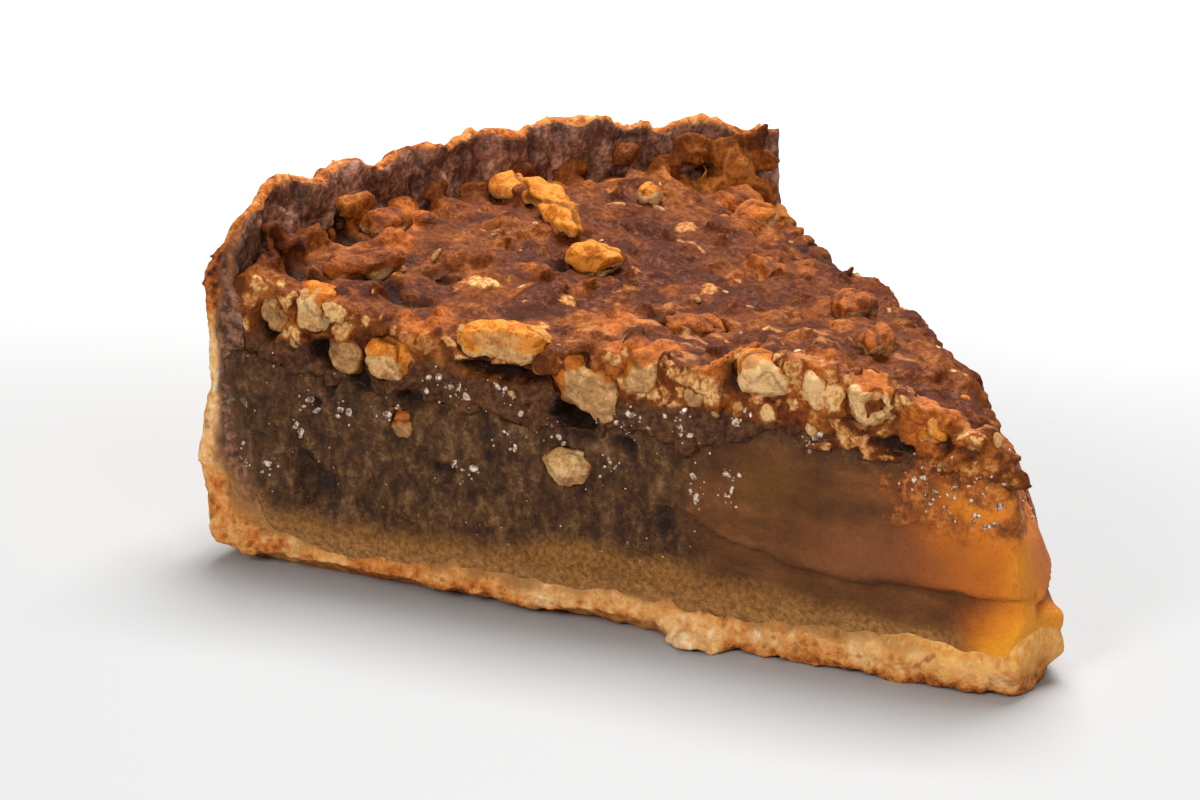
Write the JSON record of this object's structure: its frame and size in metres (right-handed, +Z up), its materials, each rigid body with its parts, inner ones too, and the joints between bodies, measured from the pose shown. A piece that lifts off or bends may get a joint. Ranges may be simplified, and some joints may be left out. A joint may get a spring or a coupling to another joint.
{
  "type": "slice of pecan pie",
  "caption": "Wedge of pecan pie: fluted pastry crust, set syrup filling and a baked top layer of chopped pecans with larger pieces standing out of the top and both cut faces.",
  "frame": {"origin": "under the middle of the slice's box, on the surface it stands on", "axes": "+X points from the rim to the tip, +Z up, and the cut face with the broken flake of pastry looks towards -Y"},
  "size_m": [0.107, 0.0896, 0.045],
  "materials": {
    "crust": "matte baked pastry",
    "filling": "moist set syrup custard",
    "pecan_layer": "glazed chopped pecans",
    "pecan_cut": "pale broken pecan",
    "pecan_glazed": "toasted pecan under a thin glaze"
  },
  "bodies": {
    "root": {"crust": "crust", "filling": "filling", "pecan_bent_sliver": "pecan_glazed", "pecan_in_far_face_1": "pecan_cut", "pecan_in_far_face_2": "pecan_cut", "pecan_in_far_face_3": "pecan_cut", "pecan_in_far_face_4": "pecan_cut", "pecan_in_far_face_5": "pecan_cut", "pecan_in_far_face_6": "pecan_cut", "pecan_in_near_face_1": "pecan_cut", "pecan_in_near_face_10": "pecan_cut", "pecan_in_near_face_11": "pecan_cut", "pecan_in_near_face_12": "pecan_cut", "pecan_in_near_face_13": "pecan_cut", "pecan_in_near_face_14": "pecan_cut", "pecan_in_near_face_2": "pecan_cut", "pecan_in_near_face_3": "pecan_cut", "pecan_in_near_face_4": "pecan_cut", "pecan_in_near_face_5": "pecan_cut", "pecan_in_near_face_6": "pecan_cut", "pecan_in_near_face_7": "pecan_cut", "pecan_in_near_face_8": "pecan_cut", "pecan_in_near_face_9": "pecan_cut", "pecan_layer": "pecan_layer", "pecan_on_top_1": "pecan_glazed", "pecan_on_top_10": "pecan_glazed", "pecan_on_top_2": "pecan_glazed", "pecan_on_top_3": "pecan_glazed", "pecan_on_top_4": "pecan_glazed", "pecan_on_top_5": "pecan_glazed", "pecan_on_top_6": "pecan_glazed", "pecan_on_top_7": "pecan_glazed", "pecan_on_top_8": "pecan_glazed", "pecan_on_top_9": "pecan_glazed"}
  },
  "joints": []
}
